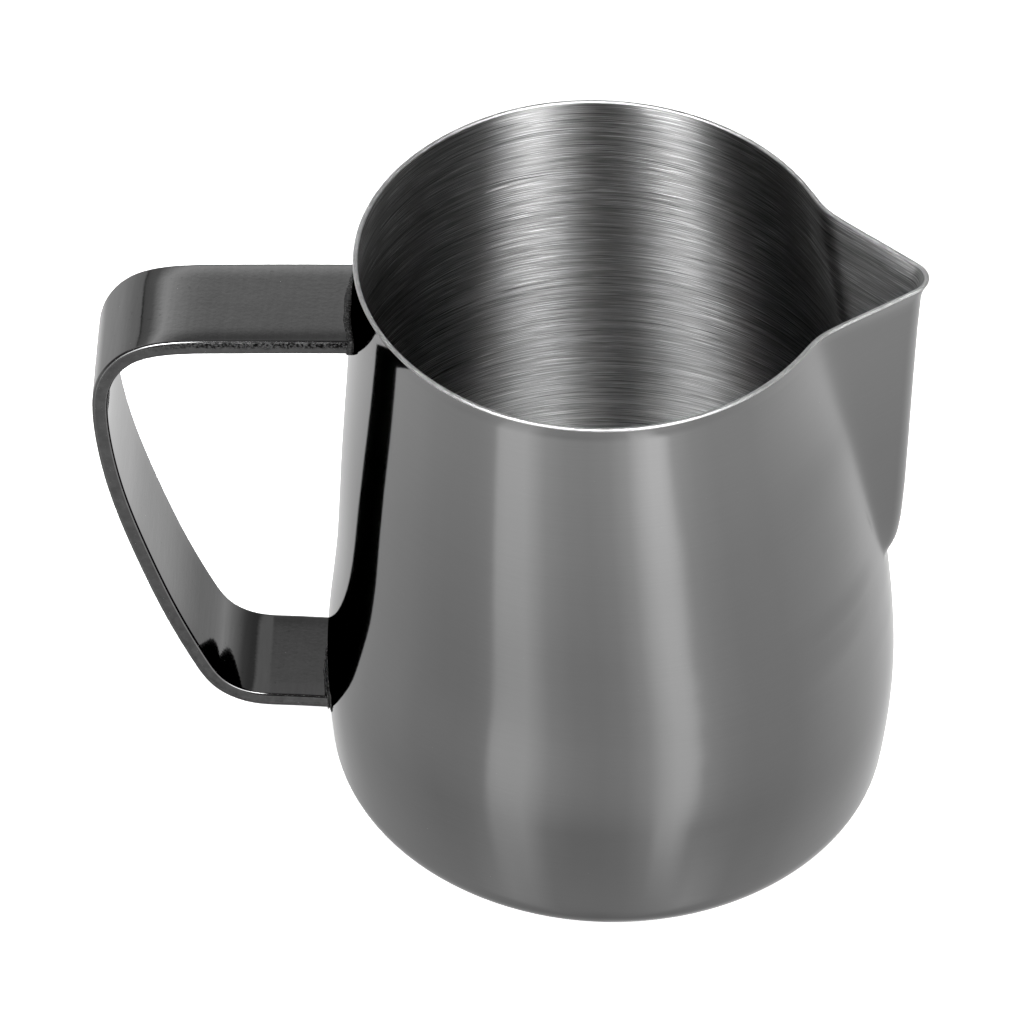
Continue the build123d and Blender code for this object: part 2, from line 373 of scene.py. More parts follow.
def brushed_inner():
    """Bare brushed steel: the inside keeps its turning scratches."""
    m = Nodes("brushed_steel_inside")
    lines = m.noise(m.coords((80.0, 80.0, 7.0), "arc"), detail=3.0, rough=0.65)
    streak = m.noise(m.coords((38.0, 38.0, 1.6), "arc"), detail=2.0, rough=0.5)
    hair = m.noise(m.coords((120.0, 120.0, 9.5), "arc"), detail=1.5, rough=0.5)
    bright = m.remap(hair, 0.61, 0.71, 0.0, 1.0)
    dark = m.remap(hair, 0.40, 0.28, 0.0, 1.0)
    base = m.math("ADD", m.remap(lines, 0.25, 0.75, -0.33, 0.33), m.remap(streak, 0.3, 0.7, -0.06, 0.06))
    base = m.math("ADD", base, m.math("MULTIPLY", bright, 0.75))
    base = m.math("SUBTRACT", base, m.math("MULTIPLY", dark, 0.26))
    tc = m.new("ShaderNodeTexCoord")
    sep = m.new("ShaderNodeSeparateXYZ")
    m.link(tc.outputs["Object"], sep.inputs[0])
    # painted light: the base colour is raised towards the bottom of the inside, to about 1.4 times its level higher
    # up, standing in for light reaching deep inside
    painted_light_by_depth = m.ramp(m.remap(sep.outputs[2], 0.0, 0.105, 0.0, 1.0), [(0.0, g(0.70)), (0.34, g(0.69)), (0.50, g(0.52)), (0.68, g(0.52)), (0.86, g(0.47)), (0.96, g(0.48)), (1.0, g(0.50))])
    sp = m.new("ShaderNodeSeparateColor")
    m.link(painted_light_by_depth, sp.inputs[0])
    painted_light_gain = m.math("MULTIPLY", sp.outputs[0], 2.0)
    base = m.math("MAXIMUM", m.math("MULTIPLY", m.math("ADD", base, 0.52), painted_light_gain), 0.10)
    m.link(m.grey(base), m.bsdf.inputs["Base Color"])
    # the pressed spout was never brushed: its inside is duller
    spout = m.new("ShaderNodeAttribute", attribute_name="spout")
    m.link(m.remap(spout.outputs["Fac"], 0.0, 1.0, 1.0, 0.83, True), m.bsdf.inputs["Metallic"])
    m.value("Anisotropic", 1.0)
    m.value("Anisotropic Rotation", 0.25)
    ro = m.math("ADD", m.remap(lines, 0.25, 0.75, 0.39, 0.45), m.math("MULTIPLY", bright, 0.20))
    m.link(ro, m.bsdf.inputs["Roughness"])
    tan = m.new("ShaderNodeTangent", direction_type="RADIAL", axis="Z")
    m.link(tan.outputs[0], m.bsdf.inputs["Tangent"])
    h = m.math("ADD", lines, m.math("MULTIPLY", hair, 0.7))
    m.link(m.bump(h, 0.000016, 0.6), m.bsdf.inputs["Normal"])
    return m.mat


def rim_edge():
    """The trimmed and buffed edge of the sheet."""
    m = Nodes("buffed_rim")
    grain = m.noise(m.coords((900.0, 900.0, 900.0)), detail=2.0, rough=0.5)
    base = m.remap(grain, 0.3, 0.7, 0.84, 0.97)
    m.link(m.grey(base), m.bsdf.inputs["Base Color"])
    m.value("Metallic", 1.0)
    m.link(m.remap(grain, 0.3, 0.7, 0.38, 0.48), m.bsdf.inputs["Roughness"])
    m.link(m.bump(grain, 0.00001, 0.3), m.bsdf.inputs["Normal"])
    return m.mat


def foot_under():
    """Underside: the same finish over turned rings."""
    m = Nodes("turned_foot")
    lines = m.noise(m.coords((60.0, 60.0, 4.0), "arc"), detail=3.0, rough=0.6)
    m.link(m.grey(m.remap(lines, 0.25, 0.75, 0.27, 0.40)), m.bsdf.inputs["Base Color"])
    m.value("Metallic", 1.0)
    m.value("Anisotropic", 0.6)
    m.value("Anisotropic Rotation", 0.25)
    m.link(m.remap(lines, 0.25, 0.75, 0.22, 0.32), m.bsdf.inputs["Roughness"])
    tan = m.new("ShaderNodeTangent", direction_type="RADIAL", axis="Z")
    m.link(tan.outputs[0], m.bsdf.inputs["Tangent"])
    m.link(m.bump(lines, 0.000012, 0.5), m.bsdf.inputs["Normal"])
    return m.mat


def strap_face():
    """The strap's flat faces: polished gunmetal with faint ripples from the bending."""
    m = Nodes("strap_gunmetal")
    broad = m.noise(m.coords((70.0, 110.0, 70.0)), detail=3.0, rough=0.5)
    fine = m.noise(m.coords((1400.0, 120.0, 1400.0)), detail=2.0, rough=0.6)
    pits = m.noise(m.coords((1500.0, 1500.0, 1500.0)), detail=1.0, rough=0.5)
    base = m.math("ADD", m.remap(fine, 0.3, 0.7, -0.012, 0.012), m.remap(pits, 0.70, 0.80, 0.0, -0.05))
    base = m.math("ADD", base, 0.30)
    m.link(m.grey(base), m.bsdf.inputs["Base Color"])
    m.value("Metallic", 1.0)
    m.link(m.math("ADD", m.remap(broad, 0.3, 0.7, 0.035, 0.07), m.math("MULTIPLY", fine, 0.02)), m.bsdf.inputs["Roughness"])
    n1 = m.bump(broad, 0.00003, 0.35)
    n2 = m.bump(pits, 0.00001, 0.25, n1)
    m.link(n2, m.bsdf.inputs["Normal"])
    return m.mat


def strap_edge():
    """The strap's sheared edges: burnished at the corners, torn and speckled between."""
    m = Nodes("sheared_edge")
    at = m.new("ShaderNodeAttribute", attribute_name="across")   # -1 outer face .. +1 inner face
    x = at.outputs["Fac"]
    speck = m.noise(m.coords((2400.0, 2400.0, 2400.0)), detail=3.0, rough=0.6)
    drag = m.noise(m.coords((700.0, 200.0, 700.0)), detail=3.0, rough=0.6)
    torn = m.math("MULTIPLY", m.remap(x, -0.92, -0.72, 0.0, 1.0, True), m.remap(m.math("ADD", x, m.remap(drag, 0.3, 0.7, -0.25, 0.25)), -0.25, 0.15, 1.0, 0.0, True))
    # the tearing is strong along the upper arm only
    tc = m.new("ShaderNodeTexCoord")
    sep = m.new("ShaderNodeSeparateXYZ")
    m.link(tc.outputs["Object"], sep.inputs[0])
    torn = m.math("MULTIPLY", torn, m.remap(sep.outputs[2], 0.080, 0.091, 0.25, 1.0, True))
    torn = m.math("MULTIPLY", torn, m.remap(sep.outputs[0], -0.073, -0.063, 0.15, 1.0, True))
    rough_c = m.remap(speck, 0.42, 0.66, 0.01, 0.24)
    smooth_c = m.remap(drag, 0.3, 0.7, 0.20, 0.26)
    mixn = m.new("ShaderNodeMix", data_type="FLOAT")
    m.link(torn, mixn.inputs[0])
    m.link(smooth_c, mixn.inputs[2])
    m.link(rough_c, mixn.inputs[3])
    m.link(m.grey(mixn.outputs[0]), m.bsdf.inputs["Base Color"])
    m.value("Metallic", 1.0)
    rr = m.math("ADD", m.math("MULTIPLY", torn, 0.26), m.remap(drag, 0.3, 0.7, 0.10, 0.18))
    m.link(rr, m.bsdf.inputs["Roughness"])
    h = m.math("MULTIPLY", speck, torn)
    m.link(m.bump(h, 0.00006, 0.6), m.bsdf.inputs["Normal"])
    return m.mat


def weld_metal():
    m = Nodes("weld_metal")
    lump = m.noise(m.coords((1100.0, 1100.0, 1100.0)), detail=3.0, rough=0.6)
    soot_and_painted_shade = m.noise(m.coords((420.0, 420.0, 420.0)), detail=2.0, rough=0.5)
    # this attribute darkens the bead's base colour in the crack and groove of the joint: partly heat oxide, partly
    # painted shade
    at = m.new("ShaderNodeAttribute", attribute_name="soot_and_painted_shade")
    keep = m.math("SUBTRACT", 1.0, m.math("MULTIPLY", at.outputs["Fac"], 0.95))
    tone = m.math("MULTIPLY", m.remap(lump, 0.3, 0.7, 0.62, 1.0), m.remap(soot_and_painted_shade, 0.3, 0.7, 0.75, 1.1))
    m.link(m.grey(m.math("MULTIPLY", tone, keep)), m.bsdf.inputs["Base Color"])
    m.value("Metallic", 0.50)
    m.link(m.remap(lump, 0.3, 0.7, 0.16, 0.38), m.bsdf.inputs["Roughness"])
    m.link(m.bump(lump, 0.00012, 0.7), m.bsdf.inputs["Normal"])
    return m.mat


def floor_material():
    m = Nodes("studio_floor")
    grain = m.noise(m.coords((9.0, 9.0, 9.0)), detail=2.0, rough=0.5)
    m.link(m.grey(m.remap(grain, 0.2, 0.8, 0.90, 0.92)), m.bsdf.inputs["Base Color"])
    m.value("Roughness", 0.9)
    m.value("Specular IOR Level", 0.0)
    m.value("Emission Color", (1.0, 1.0, 1.0, 1.0))
    m.value("Emission Strength", 0.80)
    return m.mat


MAT_OUTER = polished_outer()
MAT_INNER = brushed_inner()
MAT_RIM = rim_edge()
MAT_FOOT = foot_under()
MAT_STRAP = strap_face()
MAT_EDGE = strap_edge()
MAT_WELD = weld_metal()


# ---------------------------------------------------------------------------------------------------------------
# The cup: one closed skin, foot, wall, rolled rim, inside wall, raised floor
# ---------------------------------------------------------------------------------------------------------------
N_AROUND = 432


def spaced(a, b, n, last=False):
    out = [a + (b - a) * i / n for i in range(n)]
    if last:
        out.append(b)
    return out


def build_cup():
    phis = []
    for i in range(N_AROUND):
        s = i / N_AROUND
        phis.append(360.0 * (s - 0.72 * math.sin(2.0 * math.pi * s) / (2.0 * math.pi)))
    cs = [(math.cos(math.radians(p)), math.sin(math.radians(p))) for p in phis]

    zs = [CORNER_UP * (1.0 - math.cos(0.5 * math.pi * i / 26)) for i in range(1, 27)]
    zs += spaced(CORNER_UP, 44.0, 24)[1:] + spaced(44.0, 47.6, 9) + spaced(47.6, 56.0, 34) + spaced(56.0, 66.0, 12)
    zs += spaced(66.0, 100.0, 26) + spaced(100.0, HEIGHT - 0.32, 22, True)

    def surface(z):
        """Outside points and unit normals of the wall at height z."""
        d = 0.02
        here, lo, hi = Ring(z), Ring(max(z - d, 1e-5)), Ring(min(z + d, HEIGHT))
        dz = hi.z - lo.z
        pts, nrm = [], []
        for (c, s), p in zip(cs, phis):
            r = here.r(p)
            dp = 0.02
            rp = (here.r(p + dp) - here.r(p - dp)) / (2.0 * math.radians(dp))
            rz = (hi.r(p) - lo.r(p)) / dz
            # normal of (r cos, r sin, z): radial, tangential and upward parts
            nr, nt, nz = 1.0, -rp / r, -rz
            q = math.sqrt(nr * nr + nt * nt + nz * nz)
            nr, nt, nz = nr / q, nt / q, nz / q
            pts.append((r * c, r * s, z))
            nrm.append((nr * c - nt * s, nr * s + nt * c, nz))
        return pts, nrm

    rings = []      # (points, material of the band that follows, arc)
    spouts = {}     # ring number -> how much of the pressed spout is at each point
    arc = 0.0

    def add(points, mat, ds=None):
        nonlocal arc
        if rings and ds is None:
            a, b = rings[-1][0][N_AROUND // 2], points[N_AROUND // 2]
            ds = math.dist(a, b)
        arc += ds or 0.0
        rings.append((points, mat, arc))

    def circle(r, z):
        return [(r * c, r * s, z) for c, s in cs]

    # underside, from the centre out
    foot_r = round_wall(0.0)
    for r in (2.0, 7.0, 13.0, 18.0, 21.5, FOOT_RECESS_R - 0.9):
        add(circle(r, FOOT_RECESS_H), 3)
    for i in range(1, 8):
        t = 0.5 * math.pi * i / 7
        add(circle(FOOT_RECESS_R - 0.6 + 0.6 * math.sin(t), FOOT_RECESS_H - 0.6 + 0.6 * math.cos(t)), 3)
    for i in range(0, 6):
        t = 0.5 * math.pi * i / 5
        add(circle(FOOT_RECESS_R + 0.25 - 0.25 * math.cos(t), 0.2 - 0.2 * math.sin(t)), 3)
    for r in spaced(FOOT_RECESS_R + 0.5, foot_r, 6, True):
        add(circle(r, 0.0), 3 if r < foot_r - 0.5 else 0)
    outer = []
    for z in zs:
        outer.append(surface(z))
        add(outer[-1][0], 0)
    # rim: the edge is rounded on both corners
    pts, nrm = outer[-1]
    top_pts, _ = surface(HEIGHT)
    flat = []
    for p, n in zip(pts, nrm):
        q = math.hypot(n[0], n[1])
        flat.append((n[0] / q, n[1] / q))
    er = 0.32
    rings[-1] = (rings[-1][0], 1, rings[-1][2])
    for i in range(1, 7):
        t = 0.5 * math.pi * i / 6
        o, z = er * (1.0 - math.cos(t)), HEIGHT - er + er * math.sin(t)
        add([(p[0] - f[0] * o, p[1] - f[1] * o, z) for p, f in zip(pts, flat)], 1)
    for i in range(0, 7):
        t = 0.5 * math.pi * i / 6
        o, z = WALL - er + er * math.sin(t), HEIGHT - er + er * math.cos(t)
        add([(p[0] - f[0] * o, p[1] - f[1] * o, z) for p, f in zip(pts, flat)], 1 if i < 6 else 2)
    # inside wall, downward, one sheet thickness inside the outside
    for (pts, nrm), z in reversed(list(zip(outer[:-1], zs[:-1]))):
        add([(p[0] - n[0] * WALL, p[1] - n[1] * WALL, p[2] - n[2] * WALL) for p, n in zip(pts, nrm)], 2)
        ring = Ring(z)
        spouts[len(rings) - 1] = [ring.spout(p) for p in phis]
    # inside floor with its raised centre
    for r in (foot_r, 28.2, 27.2, 26.5):
        add(circle(r, WALL), 2)
    rr = FOOT_RECESS_R + WALL
    for i in range(0, 5):
        t = 0.5 * math.pi * i / 4
        add(circle(rr + 0.35 - 0.35 * math.sin(t), WALL + 0.3 - 0.3 * math.cos(t)), 2)
    for i in range(0, 9):
        t = 0.5 * math.pi * i / 8
        add(circle(rr - 1.2 + 1.2 * math.cos(t), WALL + FOOT_RECESS_H - 0.5 + 0.5 * math.sin(t)), 2)
    for r in (22.5, 20.0, 16.0, 12.0, 8.0, 4.0, 1.5):
        add(circle(r, WALL + FOOT_RECESS_H), 2)

    verts, faces, mats, arcs, pressed = [], [], [], [], []
    for k, (points, mat, a) in enumerate(rings):
        verts += points
        arcs += [a] * N_AROUND
        pressed += spouts.get(k, [0.0] * N_AROUND)
    n = N_AROUND
    for k in range(len(rings) - 1):
        m = rings[k][1]
        b = k * n
        for j in range(n):
            j2 = (j + 1) % n
            faces.append((b + j2, b + j, b + n + j, b + n + j2))
            mats.append(m)
    bottom = len(verts)
    verts.append((0.0, 0.0, FOOT_RECESS_H))
    arcs.append(-2.0)
    pressed.append(0.0)
    top = len(verts)
    verts.append((0.0, 0.0, WALL + FOOT_RECESS_H))
    arcs.append(arcs[top - 2] + 1.5)
    pressed.append(0.0)
    b = (len(rings) - 1) * n
    for j in range(n):
        j2 = (j + 1) % n
        faces.append((bottom, j, j2))
        mats.append(3)
        faces.append((top, b + j2, b + j))
        mats.append(2)
    # faces turn outward: every face is reversed
    return build_mesh("cup_skin", verts, [tuple(reversed(f)) for f in faces], [MAT_OUTER, MAT_RIM, MAT_INNER, MAT_FOOT], mats, {"arc": arcs, "spout": pressed})


cup = build_cup()
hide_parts("pitcher_body")
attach(cup, "root")


# ---------------------------------------------------------------------------------------------------------------
# The strap handle, swept along its line and coped to the wall at both ends
# ---------------------------------------------------------------------------------------------------------------
def line_functions():
    s = [0.0]
    for (xa, za), (xb, zb) in zip(STRAP_LINE, STRAP_LINE[1:]):
        s.append(s[-1] + math.hypot(xb - xa, zb - za))
    return natural_spline(s, [p[0] for p in STRAP_LINE]), natural_spline(s, [p[1] for p in STRAP_LINE]), s[-1]


LINE_X, LINE_Z, LINE_S = line_functions()
YAW = math.radians(STRAP_YAW)


def lean(x, y, z):
    dx = x - STRAP_ROOT_X
    return (STRAP_ROOT_X + dx * math.cos(YAW) - y * math.sin(YAW), dx * math.sin(YAW) + y * math.cos(YAW), z)


def frame_at(s):
    e = 0.05
    dx, dz = LINE_X(s + e) - LINE_X(s - e), LINE_Z(s + e) - LINE_Z(s - e)
    q = math.hypot(dx, dz)
    dx, dz = dx / q, dz / q
    return LINE_X(s), LINE_Z(s), dx, dz


def strap_section():
    """Points (across the width, through the thickness); thickness runs from outer -1 to inner +1."""
    w, t = STRAP_W / 2, STRAP_T / 2
    ro, ri = 0.55, 0.42      # the outer corners are rolled over a little more than the inner ones
    out = []

    def corner(cw, ct, r, a0, n=6):
        for i in range(n + 1):
            a = math.radians(a0 + 90.0 * i / n)
            out.append((cw + r * math.cos(a), ct + r * math.sin(a)))

    def run(p, q, n, hug=0.06):
        length = math.hypot(q[0] - p[0], q[1] - p[1])
        for f in [hug / length, 3 * hug / length] + [i / n for i in range(1, n)] + [1 - 3 * hug / length, 1 - hug / length]:
            out.append((mix(p[0], q[0], f), mix(p[1], q[1], f)))

    corner(w - ri, t - ri, ri, 0.0)                       # inner face, +width corner
    run((w - ri, t), (-w + ri, t), 24)
    corner(-w + ri, t - ri, ri, 90.0)
    run((-w, t - ri), (-w, -t + ro), 6, 0.04)
    corner(-w + ro, -t + ro, ro, 180.0)
    run((-w + ro, -t), (w - ro, -t), 24)
    corner(w - ro, -t + ro, ro, 270.0)
    run((w, -t + ro), (w, t - ri), 6, 0.04)
    # both faces fall away a little towards the edges, as sheared strip does
    crowned = []
    for cw, ct in out:
        over = max(0.0, (abs(cw) - (w - 3.2)) / 3.2)
        crowned.append((cw, ct * (1.0 - (0.045 if ct < 0 else 0.02) * over * over / t)))
    return crowned


def wall_hit(p, d, gap):
    """Where the ray from p along d meets the cup's outside, gap outside it."""
    lam = 0.0
    for _ in range(30):
        x, y, z = p[0] + d[0] * lam, p[1] + d[1] * lam, p[2] + d[2] * lam
        r = math.hypot(x, y)
        miss = r - (outline(math.degrees(math.atan2(y, x)), z) + gap)
        if abs(miss) < 1e-4:
            break
        rate = -(x * d[0] + y * d[1]) / r
        lam += miss / rate
    return lam


def find_s(x_target, from_start):
    n = 4000
    order = range(n + 1) if from_start else range(n, -1, -1)
    for i in order:
        s = LINE_S * i / n
        if LINE_X(s) <= x_target:
            return s
    return 0.0


def point_at(s, v, t):
    x, z, dx, dz = frame_at(s)
    # the outward side of the strap's bend: normal turned left of travel points inward
    nx, nz = -dz, dx
    # travelling from the top joint outward and down, the left-hand normal points to the loop's inside
    return lean(x + nx * t, v, z + nz * t)


def build_strap():
    sec = strap_section()
    n = len(sec)
    s_top, s_bot = find_s(-46.0, True), find_s(-49.0, False)
    rings = []
    count = 230
    body = [s_top + (s_bot - s_top) * i / count for i in range(count + 1)]

    def end_rings(s, sign, steps):
        _, _, dx, dz = frame_at(s)
        d = (sign * dx * math.cos(YAW), sign * dx * math.sin(YAW), sign * dz)
        base = [point_at(s, v, t) for v, t in sec]
        lam = [wall_hit(p, d, -0.12) for p in base]
        rows = []
        for k in range(1, steps + 1):
            f = k / steps
            rows.append([(p[0] + d[0] * l * f, p[1] + d[1] * l * f, p[2] + d[2] * l * f) for p, l in zip(base, lam)])
        return rows

    rings += list(reversed(end_rings(s_top, -1.0, 5)))
    for s in body:
        rings.append([point_at(s, v, t) for v, t in sec])
    rings += end_rings(s_bot, 1.0, 5)
    verts = [p for ring in rings for p in ring]
    across = [t / (STRAP_T / 2) for _ in rings for _, t in sec]
    faces, mats = [], []
    w = STRAP_W / 2
    for k in range(len(rings) - 1):
        b = k * n
        for j in range(n):
            j2 = (j + 1) % n
            faces.append((b + j, b + j2, b + n + j2, b + n + j))
            mid = 0.5 * (abs(sec[j][0]) + abs(sec[j2][0]))
            mats.append(1 if mid > w - 0.18 else 0)
    for ring_index, flip in ((0, True), (len(rings) - 1, False)):
        b = ring_index * n
        ring = rings[ring_index]
        # the coped end: fan to the ring's centre point
        half = n // 2
        c = len(verts)
        verts.append(tuple(sum(p[i] for p in ring) / n for i in range(3)))
        across.append(0.0)
        for j in range(n):
            j2 = (j + 1) % n
            faces.append((c, b + j2, b + j) if flip else (c, b + j, b + j2))
            mats.append(0)
    return build_mesh("strap_skin", verts, faces, [MAT_STRAP, MAT_EDGE], mats, {"across": across})


strap = build_strap()
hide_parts("strap_handle")
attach(strap, "root")


# ---------------------------------------------------------------------------------------------------------------
# Weld beads
# ---------------------------------------------------------------------------------------------------------------
def build_bead(name, s_target_x, from_start, seed, size):
    s = find_s(s_target_x, from_start)
    _, _, dx, dz = frame_at(s)
    sign = -1.0 if from_start else 1.0
    d = (sign * dx * math.cos(YAW), sign * dx * math.sin(YAW), sign * dz)
    w, t, r = STRAP_W / 2, STRAP_T / 2, 0.5
    # perimeter of the strap, evenly stepped
    path = []

    def arc(cw, ct, a0):
        for i in range(10):
            a = math.radians(a0 + 9.0 * i)
            path.append((cw + r * math.cos(a), ct + r * math.sin(a)))

    def run(p, q, n):
        for i in range(n):
            path.append((mix(p[0], q[0], i / n), mix(p[1], q[1], i / n)))

    arc(w - r, t - r, 0.0)
    run((w - r, t), (-w + r, t), 150)
    arc(-w + r, t - r, 90.0)
    run((-w, t - r), (-w, -t + r), 8)
    arc(-w + r, -t + r, 180.0)
    run((-w + r, -t), (w - r, -t), 150)
    arc(w - r, -t + r, 270.0)
    run((w, -t + r), (w, t - r), 8)
    pts = []
    for v, tt in path:
        p = point_at(s, v, tt)
        lam = wall_hit(p, d, 0.0)
        pts.append(Vector((p[0] + d[0] * lam, p[1] + d[1] * lam, p[2] + d[2] * lam)))
    length = [0.0]
    for p, q in zip(pts, pts[1:]):
        length.append(length[-1] + (q - p).length)
    total = length[-1] + (pts[0] - pts[-1]).length
    # section of the bead: along the strap away from the wall, and away from the strap's surface, with how much the
    # metal is darkened there: heat oxide, and painted shade in the crack and the groove
    section = [(-0.35, -0.30, 1.0), (1.22, -0.30, 1.0), (1.20, 0.00, 1.0), (1.04, 0.03, 1.0), (1.10, 0.13, 0.9), (1.08, 0.24, 0.35),
               (0.98, 0.40, 0.0), (0.84, 0.44, 0.0), (0.71, 0.36, 0.2), (0.62, 0.16, 0.95), (0.54, 0.10, 1.0), (0.46, 0.17, 0.95),
               (0.41, 0.34, 0.55), (0.34, 0.52, 0.25), (0.25, 0.75, 0.25), (0.13, 0.98, 0.35), (0.04, 1.16, 0.6), (-0.04, 1.24, 0.9),
               (-0.35, 1.24, 1.0)]
    n, m = len(pts), len(section)
    verts, dark = [], []
    waves = round(total / 1.15)
    for i in range(n):
        tan = (pts[(i + 1) % n] - pts[i - 1]).normalized()
        out = Vector(d) * -1.0
        side = out.cross(tan).normalized()
        ph = 2.0 * math.pi * length[i] / total
        wob = 0.5 * math.sin(3.0 * ph + seed) + 0.3 * math.sin(8.0 * ph + 2.3 * seed) + 0.2 * math.sin(19.0 * ph + 0.7 * seed)
        wob2 = 0.5 * math.sin(5.0 * ph + 1.9 * seed) + 0.3 * math.sin(13.0 * ph + seed) + 0.2 * math.sin(31.0 * ph + 3.1 * seed)
        ripple = abs(math.sin(0.5 * waves * ph + 0.8 * math.sin(4.0 * ph + seed)))
        for a, h, k in section:
            grow = 1.0 + 0.16 * wob
            lift = 1.0 + 0.22 * wob2 + (0.16 * ripple if 0.2 < h < 1.2 else 0.0)
            aa = (a * grow + (0.06 * wob2 if a > 0.5 else 0.0)) * size
            hh = (h * lift if h > 0 else h) * size
            q = pts[i] + out * aa + side * hh
            verts.append((q.x, q.y, q.z))
            # the lower bead is darkened almost all over: painted shade for the joint sitting in shadow under the
            # strap, over the heat oxide
            dark.append(max(k, 0.94) if from_start is False else k)
    faces = []
    for i in range(n):
        i2 = (i + 1) % n
        for k in range(m):
            k2 = (k + 1) % m
            faces.append((i * m + k, i * m + k2, i2 * m + k2, i2 * m + k))
    return build_mesh(name, verts, faces, [MAT_WELD], 0, {"soot_and_painted_shade": dark})


for name, node, x, start, seed, size in (("upper_weld", "upper_weld_bead", -46.0, True, 0.6, 0.85),
                                         ("lower_weld", "lower_weld_bead", -49.0, False, 2.1, 0.55)):
    bead = build_bead(name, x, start, seed, size)
    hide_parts(node)
    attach(bead, "root")


# ---------------------------------------------------------------------------------------------------------------
# Studio: pale floor, soft lights, even surroundings
# ---------------------------------------------------------------------------------------------------------------
def studio():
    me = bpy.data.meshes.new("studio_floor")
    z = -0.00005
    n, half = 8, 3.0
    verts = [(-half + 2 * half * i / n, -half + 2 * half * j / n, z) for j in range(n + 1) for i in range(n + 1)]
    faces = [(j * (n + 1) + i, j * (n + 1) + i + 1, (j + 1) * (n + 1) + i + 1, (j + 1) * (n + 1) + i) for j in range(n) for i in range(n)]
    me.from_pydata(verts, [], faces)
    me.materials.append(floor_material())
    me.update()
    floor = bpy.data.objects.new("studio_floor", me)
    bpy.context.scene.collection.objects.link(floor)
    floor.visible_glossy = False

    def soft_light(name, where, size, watts):
        li = bpy.data.lights.new(name, "AREA")
        li.shape = "DISK"
        li.size = size
        li.energy = watts
        ob = bpy.data.objects.new(name, li)
        ob.location = where
        ob.rotation_euler = (Vector((0.0, 0.0, 0.05)) - Vector(where)).to_track_quat("-Z", "Y").to_euler()
        ob.visible_glossy = False
        bpy.context.scene.collection.objects.link(ob)

    soft_light("soft_top", (0.1, -0.2, 1.6), 1.8, 9.0)
    soft_light("soft_left", (-1.3, -0.7, 1.1), 1.4, 5.0)
    soft_light("soft_right", (1.3, -0.5, 1.1), 1.4, 5.0)


